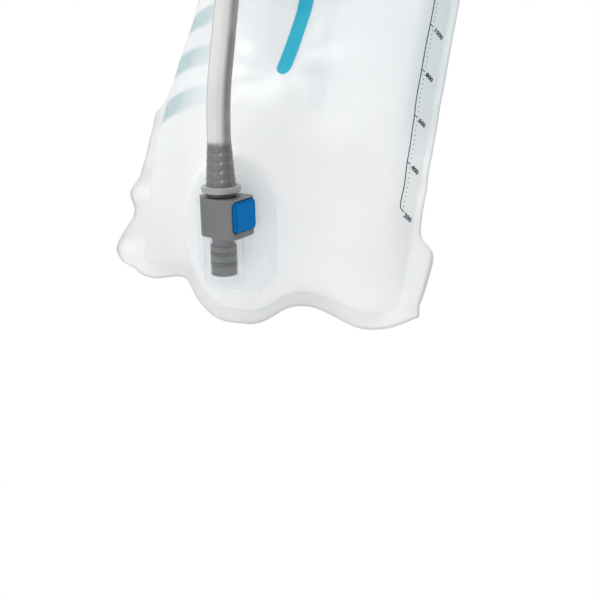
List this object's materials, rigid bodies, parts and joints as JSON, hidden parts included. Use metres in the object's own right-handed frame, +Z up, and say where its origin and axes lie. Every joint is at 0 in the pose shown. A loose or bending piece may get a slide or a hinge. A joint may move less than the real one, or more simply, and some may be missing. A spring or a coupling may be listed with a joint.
{
  "type": "hydration bladder",
  "caption": "Soft film water reservoir with slide closure, welded port, quick-release hose connector, drink hose and twist shut-off bite valve.",
  "frame": {"origin": "centre of the hanging hole in the slide closure's tab", "axes": "+Z up towards the closure, the bag hangs down -Z; -Y is the front with the port and hose; +X is the side of the volume scale"},
  "size_m": [0.2443, 0.1067, 0.4478],
  "materials": {
    "film": "frosted translucent film",
    "baffle_teal": "satin",
    "frosted_port": "frosted translucent",
    "bead_plastic": "satin",
    "slider_blue": "satin",
    "connector_grey": "satin",
    "button_blue": "satin",
    "latch_steel": "brushed",
    "stem_grey": "satin",
    "seal_rubber": "matte",
    "collar_grey": "satin",
    "hose_clear": "translucent, smooth",
    "bite_silicone": "soft silicone"
  },
  "bodies": {
    "reservoir": {"front_panel": "film", "back_panel": "film", "baffle_strip_front": "baffle_teal", "baffle_strip_back": "baffle_teal", "port_flange": "frosted_port", "mouth_bead_front": "bead_plastic", "mouth_bead_back": "bead_plastic"},
    "slider": {"slider_bar": "slider_blue"},
    "connector": {"connector_housing": "connector_grey", "latch_spring": "latch_steel"},
    "latch": {"release_button": "button_blue", "latch_plate": "latch_steel"},
    "hose": {"plug_stem": "stem_grey", "o_ring_upper": "seal_rubber", "o_ring_lower": "seal_rubber", "hose_collar": "collar_grey", "drink_tube": "hose_clear", "valve_stem": "stem_grey", "valve_o_ring": "seal_rubber"},
    "mouthpiece": {"shutoff_sleeve": "connector_grey", "bite_valve": "bite_silicone"}
  },
  "joints": [
    {"name": "slider_pull", "type": "slide", "parent": "reservoir", "child": "slider", "axis": [1, 0, 0], "range_m": [0, 0.178]},
    {"name": "connector_release", "type": "slide", "parent": "reservoir", "child": "connector", "axis": [0.0698, -0.5138, 0.8551], "range_m": [0, 0.027]},
    {"name": "button_press", "type": "slide", "parent": "connector", "child": "latch", "axis": [-0.9951, 0.024, 0.0956], "range_m": [0, 0.0008], "stiffness_N_per_m": 2500, "springref_m": -0.0008, "deforming": ["latch_spring"]},
    {"name": "hose_swivel", "type": "hinge", "parent": "connector", "child": "hose", "pos_m": [-0.0052, -0.03, -0.308], "axis": [0.0698, -0.5138, 0.8551], "range_deg": [-10, 60]},
    {"name": "shutoff_twist", "type": "hinge", "parent": "hose", "child": "mouthpiece", "pos_m": [-0.14604, -0.06592, -0.13241], "axis": [0, -0.1392, -0.9903], "range_deg": [0, 90]}
  ]
}
